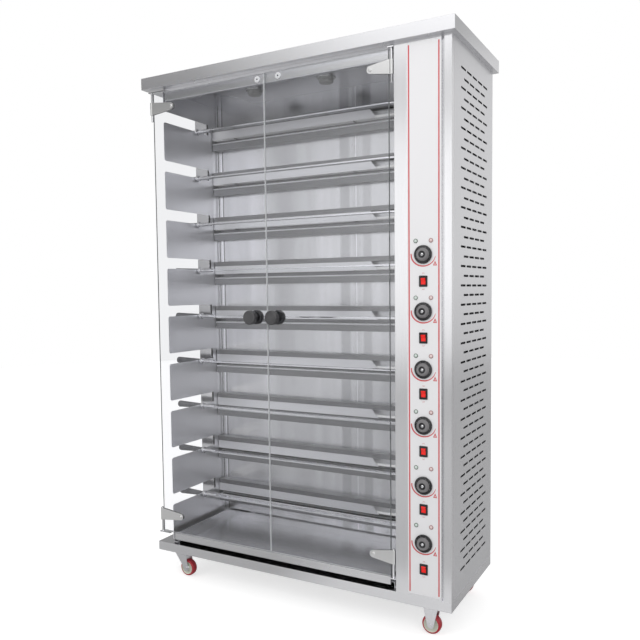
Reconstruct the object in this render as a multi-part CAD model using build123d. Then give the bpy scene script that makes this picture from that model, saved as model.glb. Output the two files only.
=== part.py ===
"""Electric chicken rotisserie: a tall stainless cabinet on casters with nine driven spits.

All lengths are millimetres. The cabinet is drawn from its front left corner:
X to the right, Y to the back, Z up from the floor. save() moves every piece so that
the origin lies on the floor, under the middle of the whole object.
"""
from build123d import *
from math import cos, pi, sin
import os

os.makedirs("parts", exist_ok=True)

# Driving dimensions of the cabinet
cabinet_width = 1185.0
cabinet_depth = 446.0
base_underside = 100.0
base_height = 33.0
total_height = 1900.0
cover_height = 41.6
cover_left = 9.6
cover_right = 15.6
cover_front = 21.2
cover_back = 24.3
sheet = 1.5

base_top = base_underside + base_height
cover_bottom = total_height - cover_height

# Cooking chamber
comb_x = 60.0
comb_front = 22.0
inner_back = 346.0
bay_x = 1000.0
back_wall_bottom = base_underside + 81.0

# Tiers of spits: slot height in the comb wall, and the spit axis below its middle
tier_count = 9
first_slot_z = base_underside + 200.5
tier_pitch = 182.69
slot_height = 41.0
slot_end = 289.0
spit_y = 208.0
spit_drop = 25.0
rod_radius = 7.0
notch_clearance = 0.3

# Doors
glass_front = 2.0
glass_thickness = 6.0
door_bottom = base_underside + 80.0
door_top = base_underside + 1745.0
left_axis_x = 18.0
right_axis_x = 990.0
edge_gap = 8.0
meeting_x = 521.0
meeting_gap = 3.0
hinge_rod_radius = 4.0
running_clearance = 0.05
clamp_height = 46.0
clamp_tip_radius = 12.5
top_clamp_z = base_underside + 1690.0
bottom_clamp_z = base_underside + 144.0
left_clamp_length = 98.0
right_clamp_length = 74.0
door_knob_z = base_underside + 912.0
door_knob_radius = 25.0
door_knob_depth = 30.0

# Control column
overlay_left = 1042.7
overlay_right = 1152.3
post_left = 1161.0
control_x = 1095.0
knob_heights = [base_underside + z for z in (1110.0, 935.8, 756.6, 581.9, 392.6, 208.2)]
rocker_heights = [base_underside + z for z in (1028.6, 854.2, 680.5, 500.2, 316.2, 124.5)]
lamp_heights = [z + rise for z, rise in zip(knob_heights, (42.0, 42.0, 42.0, 42.0, 55.0, 55.0))]
lamp_offset = 24.7
rocker_pivot_y = 4.0
rocker_radius = 12.0

# Drive in the bay on the right
sprocket_teeth = 15
chain_pitch = 12.7
sprocket_x = 1020.5
sprocket_thickness = 5.0
chain_gap = 0.6
socket_radius = 12.0

# Casters
caster_inset_x = 80.0
caster_inset_y = 48.0
wheel_radius = 31.5
wheel_width = 26.0
caster_trail = 27.0
axle_radius = 4.0
kingpin_radius = 6.0

# Whole extents, which place the origin
handle_end_x = -58.0
centre_x = (handle_end_x + cabinet_width + cover_right) / 2
centre_y = (glass_front - door_knob_depth + cabinet_depth + cover_back) / 2

slot_heights = [first_slot_z + i * tier_pitch for i in range(tier_count)]
spit_heights = [z - spit_drop for z in slot_heights]
motor_z = spit_heights[0] - tier_pitch / 2


def save(name, *solids):
    """Write one node, as one or more separate solids, in the object's own frame."""
    pieces = []
    for item in solids:
        pieces.extend(item.solids())
    moved = [Pos(-centre_x, -centre_y, 0) * piece for piece in pieces]
    export_step(moved[0] if len(moved) == 1 else Compound(children=moved), f"parts/{name}.step")


def block(x0, x1, y0, y1, z0, z1):
    """A box between two corners."""
    return Pos((x0 + x1) / 2, (y0 + y1) / 2, (z0 + z1) / 2) * Box(x1 - x0, y1 - y0, z1 - z0)


def rod_x(x0, x1, y, z, radius):
    """A round bar along X."""
    return Pos((x0 + x1) / 2, y, z) * Rot(0, 90, 0) * Cylinder(radius, x1 - x0)


def rod_y(y0, y1, x, z, radius):
    """A round bar along Y."""
    return Pos(x, (y0 + y1) / 2, z) * Rot(90, 0, 0) * Cylinder(radius, y1 - y0)


def rod_z(z0, z1, x, y, radius):
    """A round bar along Z."""
    return Pos(x, y, (z0 + z1) / 2) * Cylinder(radius, z1 - z0)


def fuse(pieces):
    """One solid from pieces that meet."""
    total = pieces[0]
    for piece in pieces[1:]:
        total = total + piece
    return total


def profile_x(points, x0, x1):
    """A closed outline in Y and Z, drawn out along X."""
    outline = Plane.YZ * make_face(Polyline(*points, close=True))
    return Pos(x0, 0, 0) * extrude(outline, amount=x1 - x0)


def profile_y(points, y0, y1):
    """A closed outline in X and Z, drawn out along Y."""
    outline = Plane.XZ * make_face(Polyline(*points, close=True))
    return Pos(0, y1, 0) * extrude(outline, amount=y1 - y0)


# Base, cover and walls
def base_frame():
    """Folded pan, open below, that stands on the casters."""
    skin = 2.0
    outer = block(0, cabinet_width, 0, cabinet_depth, base_underside, base_top)
    inner = block(skin, cabinet_width - skin, skin, cabinet_depth - skin, base_underside - 1, base_top - skin)
    caster_seats = []
    seat_x = 95.0
    seat_y = 96.0
    for x0 in (skin, cabinet_width - skin - seat_x - caster_inset_x / 2):
        for y0 in (skin, cabinet_depth - skin - seat_y):
            x1 = x0 + seat_x + caster_inset_x / 2
            caster_seats.append(block(x0, x1, y0, y0 + seat_y, base_underside, base_underside + skin))
    return fuse([outer - inner] + caster_seats)


def top_cover():
    """Folded pan, open below, that overhangs the cabinet all round."""
    left = -cover_left
    right = cabinet_width + cover_right
    front = -cover_front
    back = cabinet_depth + cover_back
    outer = block(left, right, front, back, cover_bottom, total_height)
    inner = block(left + sheet, right - sheet, front + sheet, back - sheet, cover_bottom - 1, total_height - sheet)
    return outer - inner


def ceiling_sheet():
    """Sheet that closes the cover from below and is the chamber's ceiling."""
    return block(-cover_left + sheet, cabinet_width + cover_right - sheet, -cover_front + sheet,
                 cabinet_depth + cover_back - sheet, cover_bottom, cover_bottom + sheet)


def left_comb_wall():
    """Left chamber wall: tooth plates on a back strip, with a slot and a notch for each spit."""
    corner_radius = 9.0
    foot_width = 18.0
    strip = block(comb_x - sheet, comb_x, slot_end, inner_back, base_top, cover_bottom)
    foot = block(comb_x, comb_x + foot_width, slot_end, inner_back, base_top, base_top + sheet)
    pieces = [strip + foot]
    lower_edges = [base_top] + [z + slot_height / 2 for z in slot_heights]
    upper_edges = [z - slot_height / 2 for z in slot_heights] + [cover_bottom]
    for bottom, top in zip(lower_edges, upper_edges):
        tooth = block(comb_x - sheet, comb_x, comb_front, slot_end, bottom, top)
        corners = [edge for edge in tooth.edges().filter_by(Axis.X)
                   if abs(edge.center().Y - comb_front) < 0.1 and base_top < edge.center().Z < cover_bottom]
        tooth = fillet(corners, corner_radius)
        if top < cover_bottom:
            axis_z = top + slot_height / 2 - spit_drop
            half_notch = rod_radius + notch_clearance
            tooth = tooth - rod_x(comb_x - 5, comb_x + 5, spit_y, axis_z, half_notch)
            tooth = tooth - block(comb_x - 5, comb_x + 5, spit_y - half_notch, spit_y + half_notch, axis_z, top + 1)
        if bottom == base_top:
            tooth = tooth + block(comb_x, comb_x + foot_width, comb_front, slot_end, base_top, base_top + sheet)
        pieces.append(tooth)
    return pieces


def left_casing():
    """Narrow closed return behind the spit handles, with a flange for the rear panel."""
    casing_front = 280.0
    flange = 20.0
    side = block(0, sheet, casing_front, cabinet_depth - sheet, base_top, cover_bottom)
    front = block(sheet, comb_x - sheet, casing_front, casing_front + sheet, base_top, cover_bottom)
    hole_depth = cabinet_depth - 2 * sheet
    back = block(sheet, flange, hole_depth, hole_depth + sheet, base_top, cover_bottom)
    return fuse([side, front, back]) - fuse(screw_holes(left_screw_x))


def inner_back_wall():
    return block(comb_x - sheet, bay_x, inner_back, inner_back + sheet, back_wall_bottom, cover_bottom)


def inner_right_wall():
    """Wall between the chamber and the drive bay, bored for the spit sockets."""
    wall = block(bay_x, bay_x + sheet, 20, cabinet_depth - sheet, base_top, cover_bottom)
    for z in spit_heights:
        wall = wall - rod_x(bay_x - 1, bay_x + 5, spit_y, z, bush_radius)
    return wall


def header_rail():
    """Channel over the doors, with a returned lower edge and two pressed beads."""
    front = 12.0
    back = 24.0
    rail_bottom = base_underside + 1712.0
    bead_radius = 1.5
    outer = block(76, bay_x, front, back, rail_bottom, cover_bottom)
    rail = outer - block(75, bay_x + 1, front + sheet, back + 1, rail_bottom + sheet, cover_bottom + 1)
    for rise in (3.5, 32.5):
        rail = rail + rod_x(76, bay_x, front + sheet / 2, rail_bottom + rise, bead_radius)
    return rail


# Rear and side panels with their screws
left_screw_x = 11.0
right_screw_x = cabinet_width - 11.0
screw_heights = [base_top + 40 + i * (cover_bottom - base_top - 80) / 5 for i in range(6)]


def screw_holes(x):
    return [rod_y(cabinet_depth - 10, cabinet_depth + 1, x, z, 2.1) for z in screw_heights]


def rear_panel():
    """Outer back, with the hole for the cable gland."""
    panel = block(0, cabinet_width, cabinet_depth - sheet, cabinet_depth, base_top, cover_bottom)
    panel = panel - fuse(screw_holes(left_screw_x) + screw_holes(right_screw_x))
    return panel - rod_y(cabinet_depth - 10, cabinet_depth + 1, gland_x, gland_z, gland_thread_radius)


def cover_screws():
    """Pan-head screws along both edges of the rear panel."""
    screws = []
    for x in (left_screw_x, right_screw_x):
        for z in screw_heights:
            head = rod_y(cabinet_depth, cabinet_depth + 2.2, x, z, 4.2)
            head = fillet(head.edges().filter_by(GeomType.CIRCLE).sort_by(Axis.Y)[-1], 1.5)
            shank = rod_y(cabinet_depth - 8, cabinet_depth, x, z, 2.0)
            screws.append(head + shank)
    return screws


def right_side_panel():
    """Right side, pressed full of short horizontal vent slots in staggered rows."""
    row_count = 53
    first_row_z = base_underside + 105.1
    row_pitch = 30.317
    slot_pitch = 60.0
    slot_length = 50.0
    slot_width = 6.8
    slot_middle_y = 233.0
    front = 20.0
    flange = 20.0
    height = cover_bottom - base_top
    vents = []
    for row in range(row_count):
        slots_in_row = 5 if row % 2 == 0 else 4
        for place in range(slots_in_row):
            y = slot_middle_y + (place - (slots_in_row - 1) / 2) * slot_pitch
            z = first_row_z + row * row_pitch
            vents.append(Pos(y, z) * SlotOverall(slot_length, slot_width))
    blank = Pos((front + cabinet_depth - sheet) / 2, base_top + height / 2) * Rectangle(
        cabinet_depth - sheet - front, height)
    side = Pos(cabinet_width - sheet, 0, 0) * extrude(Plane.YZ * (blank - vents), amount=sheet)
    hole_depth = cabinet_depth - 2 * sheet
    back = block(cabinet_width - flange, cabinet_width - sheet, hole_depth, hole_depth + sheet,
                 base_top, cover_bottom)
    return side + back - fuse(screw_holes(right_screw_x))


# Control column
def control_cuts(y0, y1):
    """Holes for knob shafts, pilot lamps and rocker switches."""
    shaft_hole_radius = 5.0
    lamp_hole_radius = 5.0
    cuts = []
    for z in knob_heights:
        cuts.append(rod_y(y0, y1, control_x, z, shaft_hole_radius))
    for z in lamp_heights:
        for side in (-1, 1):
            cuts.append(rod_y(y0, y1, control_x + side * lamp_offset, z, lamp_hole_radius))
    for z in rocker_heights:
        cuts.append(block(control_x - 11.3, control_x + 11.3, y0, y1, z - 15.3, z + 15.3))
    return cuts


def control_fascia():
    """Stainless front of the drive bay, with a sunk channel between it and the corner post."""
    right = 1152.6
    channel_back = 14.0
    front = block(bay_x, right, 0, sheet, base_top, cover_bottom)
    left_return = block(bay_x, bay_x + sheet, sheet, 20, base_top, cover_bottom)
    right_return = block(right - sheet, right, sheet, channel_back, base_top, cover_bottom)
    channel = block(right, post_left, channel_back - sheet, channel_back, base_top, cover_bottom)
    face = fuse([front, left_return, right_return, channel])
    for cut in control_cuts(-1, 5):
        face = face - cut
    return face


def corner_post():
    """Folded post at the front right corner."""
    front = block(post_left, cabinet_width, 0, sheet, base_top, cover_bottom)
    side = block(cabinet_width - sheet, cabinet_width, sheet, 19.5, base_top, cover_bottom)
    inner = block(post_left, post_left + sheet, sheet, 14, base_top, cover_bottom)
    return fuse([front, side, inner])


def control_overlay():
    """Printed plate with rounded corners on the fascia."""
    plate = block(overlay_left, overlay_right, -1, 0, base_underside + 40, base_underside + 1748)
    plate = fillet(plate.edges().filter_by(Axis.Y), 4)
    for cut in control_cuts(-3, 3):
        plate = plate - cut
    return plate


def rocker_cavity(z):
    """Round well that the rocker turns in."""
    return rod_x(control_x - 8.6, control_x + 8.6, rocker_pivot_y, z, rocker_radius + 0.4)


def switch_bodies():
    """Black snap-in housings with raised bezels."""
    bodies = []
    for z in rocker_heights:
        bezel = block(control_x - 13.25, control_x + 13.25, -3.2, -1, z - 17, z + 17)
        bezel = fillet(bezel.edges().filter_by(Axis.Y), 2)
        body = block(control_x - 11, control_x + 11, -1, 26, z - 15, z + 15)
        terminals = [block(control_x - 3, control_x + 3, 26, 35, z + dz - 0.5, z + dz + 0.5) for dz in (-8, 0, 8)]
        pins = [rod_x(control_x + x0, control_x + x0 + 1.4, rocker_pivot_y, z, 1.5) for x0 in (-8.6, 7.2)]
        bodies.append(fuse([bezel, body] + terminals) - rocker_cavity(z) + fuse(pins))
    return bodies


def rocker(z):
    """Red rocker with a shallow V front, parked with its lower half pressed in."""
    half_width = 8.2
    rest_tilt = 9.0
    drum = rod_x(control_x - half_width, control_x + half_width, rocker_pivot_y, z, rocker_radius)
    front = [(-12, 11.8), (-4.6, 11.8), (-2.2, 0), (-4.6, -11.8), (-12, -11.8)]
    cut = profile_x([(y, z + dz) for y, dz in front], control_x - 10, control_x + 10)
    back = block(control_x - 10, control_x + 10, rocker_pivot_y + 3, 30, z - 20, z + 20)
    sockets = [rod_x(control_x + x0, control_x + x0 + 2, rocker_pivot_y, z, 1.55) for x0 in (-8.6, 6.6)]
    shape = drum - cut - back - fuse(sockets)
    pivot = Axis((control_x, rocker_pivot_y, z), (1, 0, 0))
    return shape.rotate(pivot, rest_tilt)


def temperature_knob(z):
    """Dial skirt with a round, fluted grip that has a well in its face, on its spindle."""
    skirt_radius = 28.5
    grip_radius = 18.8
    face = -16.0
    well_depth = 3.0
    flute_count = 12
    skirt = rod_y(-7, -2, control_x, z, skirt_radius)
    skirt = chamfer(skirt.edges().filter_by(GeomType.CIRCLE).sort_by(Axis.Y)[0], 1.5)
    grip = rod_y(face, -7, control_x, z, grip_radius)
    grip = fillet(grip.edges().filter_by(GeomType.CIRCLE).sort_by(Axis.Y)[0], 1.5)
    grip = grip - rod_y(face - 1, face + well_depth, control_x, z, 9.2)
    flutes = []
    for flute in range(flute_count):
        angle = 2 * pi * (flute + 0.5) / flute_count
        reach = grip_radius + 1.6
        flutes.append(rod_y(face - 1, -7, control_x + reach * cos(angle), z + reach * sin(angle), 2.4))
    centre = rod_y(face + 1, face + well_depth, control_x, z, 4.4)
    spindle = rod_y(-2, 20, control_x, z, 3)
    return fuse([skirt, grip - fuse(flutes), centre, spindle])


def thermostats():
    """Capillary thermostat bodies behind the knobs, held by the fascia."""
    bodies = []
    for z in knob_heights:
        neck = rod_y(1.5, 9, control_x, z, 9)
        can = block(control_x - 19, control_x + 19, 9, 34, z - 17, z + 17)
        tabs = [block(control_x + x - 3, control_x + x + 3, 34, 43, z - 0.5, z + 0.5) for x in (-11, 11)]
        bodies.append(fuse([neck, can] + tabs) - rod_y(0, 22, control_x, z, 3.05))
    return bodies


def pilot_lamps():
    """Domed lenses with their barrels, a pair over each knob."""
    dome_radius = 9.0
    dome_rise = 2.6
    bezel_front = -2.6
    lamps = []
    for z in lamp_heights:
        for side in (-1, 1):
            x = control_x + side * lamp_offset
            bezel = rod_y(bezel_front, -1, x, z, 6.8)
            barrel = rod_y(-1, 22, x, z, 4.8)
            cap = Pos(x, bezel_front - dome_rise + dome_radius, z) * Sphere(dome_radius)
            cap = cap & rod_y(-10, bezel_front, x, z, 4.8)
            lamps.append(fuse([bezel, barrel, cap]))
    return lamps


# Heating
def reflectors():
    """Open troughs on the back wall, each with a radiant plate and two rests for its heater tube.

    The plate hangs behind the upper lip and ends in a slant, where the tube comes into view.
    """
    depth = 33.0
    rise = 13.0
    drop = 81.0
    upper_lip = 18.0
    lower_lip = 27.0
    bead_radius = 2.4
    plate_drop = 37.0
    slant_start = 771.0
    slant_end = 801.0
    skin = 1.5
    front = inner_back - depth
    troughs = []
    for z in slot_heights:
        outer = block(comb_x + 2, bay_x - 2, front, inner_back, z - drop, z + rise)
        inner = block(comb_x + 2 + skin, bay_x - 2 - skin, front + skin, inner_back - skin,
                      z - drop + skin, z + rise - skin)
        mouth = block(comb_x + 2 + skin, bay_x - 2 - skin, front - 1, front + skin + 1,
                      z - drop + lower_lip, z + rise - upper_lip)
        trough = outer - inner - mouth
        trough = trough + rod_x(comb_x + 2, bay_x - 2, front + skin / 2, z - drop + lower_lip, bead_radius)
        plate = [(comb_x + 2 + skin, z - plate_drop), (slant_end, z - plate_drop), (slant_start, z),
                 (comb_x + 2 + skin, z)]
        trough = trough + profile_y(plate, front + skin, front + 2 * skin)
        for x in (167.0, 705.0):
            rest = block(x - 1.5, x + 1.5, heater_y - 8, inner_back - skin, z - heater_drop - 8, z - heater_drop + 8)
            trough = trough + (rest - rod_x(x - 5, x + 5, heater_y, z - heater_drop, heater_radius + 0.2))
        end_hole = rod_x(comb_x, comb_x + 6, heater_y, z - heater_drop, heater_radius + 0.2)
        far_hole = rod_x(bay_x - 6, bay_x, heater_y, z - heater_drop, heater_radius + 0.2)
        troughs.append(trough - end_hole - far_hole)
    return troughs


heater_y = inner_back - 20.0
heater_drop = 31.0
heater_radius = 5.0


def heater_tubes():
    """Quartz heater tubes with ceramic ends, one in each reflector."""
    pieces = []
    ceramic_length = 34.0
    left = comb_x + 4
    right = bay_x - 4
    for z in slot_heights:
        axis_z = z - heater_drop
        pieces.append(rod_x(left + ceramic_length, right - ceramic_length, heater_y, axis_z, heater_radius))
        for x0 in (left, right - ceramic_length):
            pieces.append(block(x0, x0 + ceramic_length, heater_y - 7, heater_y + 7, axis_z - 7, axis_z + 7))
    return pieces


def chamber_lamps():
    """Round oven lamps under the ceiling."""
    lamps = []
    for x in (356.0, 660.0):
        flange = rod_z(cover_bottom - 5, cover_bottom, x, 195, 34)
        flange = fillet(flange.edges().filter_by(GeomType.CIRCLE).sort_by(Axis.Z)[0], 3)
        glass = rod_z(cover_bottom - 22, cover_bottom - 5, x, 195, 26)
        glass = fillet(glass.edges().filter_by(GeomType.CIRCLE).sort_by(Axis.Z)[0], 8)
        lamps += [flange, glass]
    return lamps


# Doors
def door_glass(x0, x1, knob_x, clamp_screw_x):
    """One pane of tempered glass, drilled for its knob and its two clamps."""
    back = glass_front + glass_thickness
    pane = block(x0, x1, glass_front, back, door_bottom, door_top)
    pane = fillet(pane.edges().filter_by(Axis.Y), 3)
    holes = [rod_y(glass_front - 1, back + 1, knob_x, door_knob_z, 5)]
    for z in (top_clamp_z, bottom_clamp_z):
        holes.append(rod_y(glass_front - 1, back + 1, clamp_screw_x, z, 5))
    return pane - fuse(holes)


def clamp_plate(edge_x, tip_x, y0, y1, z):
    """Flat plate that tapers to a half-round free end."""
    half = clamp_height / 2
    side = 1 if tip_x > edge_x else -1
    middle = tip_x - side * clamp_tip_radius
    outline = [(edge_x, z - half), (middle, z - clamp_tip_radius), (middle, z + clamp_tip_radius),
               (edge_x, z + half)]
    return profile_y(outline, y0, y1) + rod_y(y0, y1, middle, z, clamp_tip_radius)


def door_clamp(axis_x, glass_edge, tip_x, z):
    """Clamp with its knuckle round the hinge rod, and the screw that closes it."""
    plate_thickness = 3.0
    knuckle_radius = 7.0
    side = 1 if tip_x > glass_edge else -1
    half = clamp_height / 2
    back = glass_front + glass_thickness
    axis_y = glass_front + glass_thickness / 2
    web_start = axis_x + side * 1
    web_end = glass_edge - side * 0.2
    front_plate = clamp_plate(web_start, tip_x, glass_front - plate_thickness, glass_front, z)
    back_plate = clamp_plate(web_start, tip_x, back, back + plate_thickness, z)
    web = block(min(web_start, web_end), max(web_start, web_end), glass_front, back, z - half, z + half)
    knuckle = rod_z(z - half, z + half, axis_x, axis_y, knuckle_radius)
    screw_x = tip_x - side * clamp_tip_radius
    bore = rod_z(z - half - 1, z + half + 1, axis_x, axis_y, hinge_rod_radius + running_clearance)
    screw_hole = rod_y(glass_front - 5, back + 5, screw_x, z, 3.1)
    body = fuse([front_plate, back_plate, web, knuckle]) - bore - screw_hole
    screw_front = glass_front - plate_thickness
    head = rod_y(screw_front - 3, screw_front, screw_x, z, 6.5)
    head = fillet(head.edges().filter_by(GeomType.CIRCLE).sort_by(Axis.Y)[0], 2)
    shank = rod_y(screw_front, back + 6, screw_x, z, 3)
    return [body, head + shank]


def door_knobs(x):
    """Back-to-back round knobs; the front one carries the stud through the glass."""
    back = glass_front + glass_thickness
    knobs = []
    for start, direction in ((glass_front, -1), (back, 1)):
        neck_end = start + direction * 8
        face = start + direction * door_knob_depth
        neck = rod_y(min(start, neck_end), max(start, neck_end), x, door_knob_z, 14)
        head = rod_y(min(neck_end, face), max(neck_end, face), x, door_knob_z, door_knob_radius)
        rim = head.edges().filter_by(GeomType.CIRCLE).sort_by(Axis.Y)
        head = fillet([rim[0], rim[-1]], 5)
        knobs.append(neck + head)
    stud = rod_y(glass_front, back + 12, x, door_knob_z, 4)
    knobs[0] = knobs[0] + stud
    knobs[1] = knobs[1] - rod_y(back - 1, back + 12.5, x, door_knob_z, 4.1)
    return knobs


def door_hinges():
    """Rods and the brackets that carry them, two for each door."""
    axis_y = glass_front + glass_thickness / 2
    plate = 3.0
    top_z = door_top + 2
    low_z = door_bottom - 4
    pieces = []
    for axis_x, x0, x1 in ((left_axis_x, 9, 96), (right_axis_x, 980, bay_x)):
        upper = block(x0, x1, -4, 12, top_z, top_z + plate)
        top_rod = rod_z(top_clamp_z - clamp_height / 2 - 24, top_z, axis_x, axis_y, hinge_rod_radius)
        pieces.append(upper + top_rod)
    wall_face = comb_x - sheet
    for axis_x, x0, x1, tab_x in ((left_axis_x, 9, wall_face, wall_face - plate), (right_axis_x, 982, bay_x, 992)):
        lower = block(x0, x1, -4, comb_front, low_z - plate, low_z)
        tab = block(tab_x, min(tab_x + 8, x1), comb_front - 2, comb_front + 16, low_z - 32, low_z)
        low_rod = rod_z(low_z, bottom_clamp_z + clamp_height / 2 + 4, axis_x, axis_y, hinge_rod_radius)
        pieces.append(fuse([lower, tab, low_rod]))
    return pieces


def door_magnets():
    """Round catches on the header, one behind each door."""
    catches = []
    for x in (491.0, 575.0):
        cup = rod_y(9, 12, x, base_underside + 1729, 11)
        catches.append(cup - rod_y(8, 10, x, base_underside + 1729, 5))
    return catches


# Drip tray
tray_left = 84.0
tray_right = 976.0
tray_front = 10.0
tray_back = 338.0
tray_bottom = base_underside + 50.0
tray_top = base_underside + 76.0
tray_play = 0.3


def drip_tray():
    """Shallow pan with a folded front lip."""
    outer = block(tray_left, tray_right, tray_front, tray_back, tray_bottom, tray_top)
    inner = block(tray_left + sheet, tray_right - sheet, tray_front + sheet, tray_back - sheet,
                  tray_bottom + sheet, tray_top + 1)
    lip = block(79, 980, 3, tray_front, tray_bottom, tray_top + 1)
    lip = fillet(lip.edges().filter_by(Axis.X).sort_by(Axis.Y)[:2], 2)
    hollow = block(82, 977, 3 + sheet, tray_front + 0.5, tray_bottom - 1, tray_top + 1 - sheet)
    front_wall = block(82, 977, tray_front - sheet, tray_front, tray_bottom, tray_top)
    return fuse([outer - inner, lip - hollow, front_wall])


def tray_runners():
    """Angles that the tray slides on: the left one stands on the comb wall's foot."""
    front = 30.0
    ledge_top = tray_bottom - tray_play
    left_z = base_top + sheet
    left = fuse([block(70, 78, front, inner_back - 6, left_z, left_z + sheet),
                 block(78 - sheet, 78, front, inner_back - 6, left_z, ledge_top),
                 block(78 - sheet, 96, front, inner_back - 6, ledge_top - sheet, ledge_top)])
    right = fuse([block(982, 990, front, inner_back - 6, base_top, base_top + sheet),
                  block(982, 982 + sheet, front, inner_back - 6, base_top, ledge_top),
                  block(964, 982 + sheet, front, inner_back - 6, ledge_top - sheet, ledge_top)])
    return [left, right]


# Spits and their drive
bush_radius = 15.5


def sprocket(x0, y, z, bore):
    """Toothed disc in line with the chain."""
    pitch_radius = chain_pitch / (2 * sin(pi / sprocket_teeth))
    tip = pitch_radius + 1.9
    root = pitch_radius - 4.0
    points = []
    for tooth in range(sprocket_teeth):
        start = 2 * pi * tooth / sprocket_teeth
        for fraction, radius in ((-0.30, root), (-0.10, tip), (0.10, tip), (0.30, root)):
            angle = start + fraction * 2 * pi / sprocket_teeth
            points.append((y + radius * cos(angle), z + radius * sin(angle)))
    disc = profile_x(points, x0, x0 + sprocket_thickness)
    return disc - rod_x(x0 - 1, x0 + sprocket_thickness + 1, y, z, bore)


def spit_blade(z):
    """Flat sword blade between a round journal and a square drive end, parked flat."""
    half_width = 12.0
    half_thickness = 2.5
    blade_start = 118.0
    blade_end = 935.0
    point_length = 45.0
    tip_half_width = 5.0
    outline = [(blade_start, -half_width), (blade_end - point_length, -half_width), (blade_end, -tip_half_width),
               (blade_end, tip_half_width), (blade_end - point_length, half_width), (blade_start, half_width)]
    face = Plane.XY * make_face(Polyline(*[(x, spit_y + y) for x, y in outline], close=True))
    blade = Pos(0, 0, z - half_thickness) * extrude(face, amount=2 * half_thickness)
    journal = rod_x(-20, blade_start + 14, spit_y, z, rod_radius)
    journal = chamfer(journal.edges().filter_by(GeomType.CIRCLE).sort_by(Axis.X)[-1], 4)
    drive_end = block(blade_end - 20, 1017, spit_y - 5, spit_y + 5, z - 5, z + 5)
    collar = rod_x(comb_x + 3, comb_x + 13, spit_y, z, 12.5)
    collar = chamfer(collar.edges().filter_by(GeomType.CIRCLE), 1)
    return fuse([blade, journal, drive_end, collar])


def spit_handle(z):
    """Tapered grip with a domed end, pressed on the journal outside the comb wall."""
    end = comb_x - sheet - 4.5
    length = end - handle_end_x
    grip = Pos((handle_end_x + end) / 2, spit_y, z) * Rot(0, 90, 0) * Cone(13.5, 9, length)
    rims = grip.edges().filter_by(GeomType.CIRCLE).sort_by(Axis.X)
    grip = fillet(rims[0], 8)
    return grip - rod_x(-20, end + 1, spit_y, z, rod_radius)


def spit_socket(z):
    """Socket that turns in its bush and takes the square end of the spit, with its sprocket."""
    tube = rod_x(980, 1040, spit_y, z, socket_radius)
    pocket = block(979, 1020, spit_y - 5.3, spit_y + 5.3, z - 5.3, z + 5.3)
    return tube - pocket + sprocket(sprocket_x, spit_y, z, socket_radius - 1)


def spit_bearings():
    """Flanged bushes in the inner right wall."""
    bushes = []
    for z in spit_heights:
        flange = rod_x(bay_x + sheet, bay_x + 6, spit_y, z, 24)
        barrel = rod_x(bay_x - 2, bay_x + sheet, spit_y, z, bush_radius - 0.1)
        outer = rod_x(bay_x + 6, bay_x + 14, spit_y, z, 17)
        bore = rod_x(bay_x - 3, bay_x + 15, spit_y, z, socket_radius + running_clearance)
        bushes.append(fuse([flange, barrel, outer]) - bore)
    return bushes


def motor_sprocket():
    """Sprocket on the output shaft of the gear motor."""
    shaft = rod_x(1014, gearbox_x + 20, spit_y, motor_z, 6)
    hub = rod_x(1016, 1032, spit_y, motor_z, 11)
    return fuse([shaft, hub, sprocket(sprocket_x, spit_y, motor_z, 5)])


gearbox_x = 1040.0


def gear_motor():
    """Bracket, gearbox and motor can on the floor of the bay."""
    gearbox = block(gearbox_x, gearbox_x + 58, spit_y - 40, spit_y + 40, motor_z - 38, motor_z + 38)
    gearbox = fillet(gearbox.edges().filter_by(Axis.X), 5)
    gearbox = gearbox - rod_x(gearbox_x - 1, gearbox_x + 21, spit_y, motor_z, 6 + running_clearance)
    can = rod_x(gearbox_x + 58, gearbox_x + 132, spit_y, motor_z, 34)
    can = fillet(can.edges().filter_by(GeomType.CIRCLE).sort_by(Axis.X)[-1], 5)
    foot = block(gearbox_x - 2, gearbox_x + 62, spit_y - 52, spit_y + 52, base_top, base_top + 3)
    riser = block(gearbox_x + 4, gearbox_x + 54, spit_y - 30, spit_y + 30, base_top + 3, motor_z - 38)
    return [gearbox, can, foot + riser]


def drive_chain():
    """Closed loop of roller chain round the motor sprocket and all nine spit sprockets."""
    inner_radius = chain_pitch / (2 * sin(pi / sprocket_teeth)) + 1.9 + chain_gap
    chain_height = 8.0
    band_width = 7.0
    x0 = sprocket_x + sprocket_thickness / 2 - band_width / 2
    low = motor_z
    high = spit_heights[-1]

    def stadium(radius):
        return fuse([rod_x(x0, x0 + band_width, spit_y, low, radius), rod_x(x0, x0 + band_width, spit_y, high, radius),
                     block(x0, x0 + band_width, spit_y - radius, spit_y + radius, low, high)])

    return stadium(inner_radius + chain_height) - stadium(inner_radius)


# Supply
gland_x = 1120.0
gland_z = base_underside + 92.0
gland_thread_radius = 9.0
gland_bore_radius = 6.5


def cable_gland():
    """Gland for the supply cord, with its nut inside the panel."""
    flange = extrude(Plane.XZ * RegularPolygon(13, 6), amount=7)
    flange = Pos(gland_x, cabinet_depth + 7, gland_z) * flange
    dome = rod_y(cabinet_depth + 7, cabinet_depth + 22, gland_x, gland_z, 10.5)
    dome = fillet(dome.edges().filter_by(GeomType.CIRCLE).sort_by(Axis.Y)[-1], 3)
    thread = rod_y(cabinet_depth - 12, cabinet_depth, gland_x, gland_z, gland_thread_radius - 0.1)
    body = fuse([flange, dome, thread])
    body = body - rod_y(cabinet_depth - 13, cabinet_depth + 23, gland_x, gland_z, gland_bore_radius)
    nut = Pos(gland_x, cabinet_depth - sheet, gland_z) * extrude(Plane.XZ * RegularPolygon(13, 6), amount=5)
    nut = nut - rod_y(cabinet_depth - 13, cabinet_depth, gland_x, gland_z, gland_thread_radius - 0.1)
    return [body, nut]


# Casters
plate_top = base_underside
plate_thickness = 3.0
crown_z = base_underside - 14.0
leg_gap = 15.5
leg_thickness = 2.5


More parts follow.
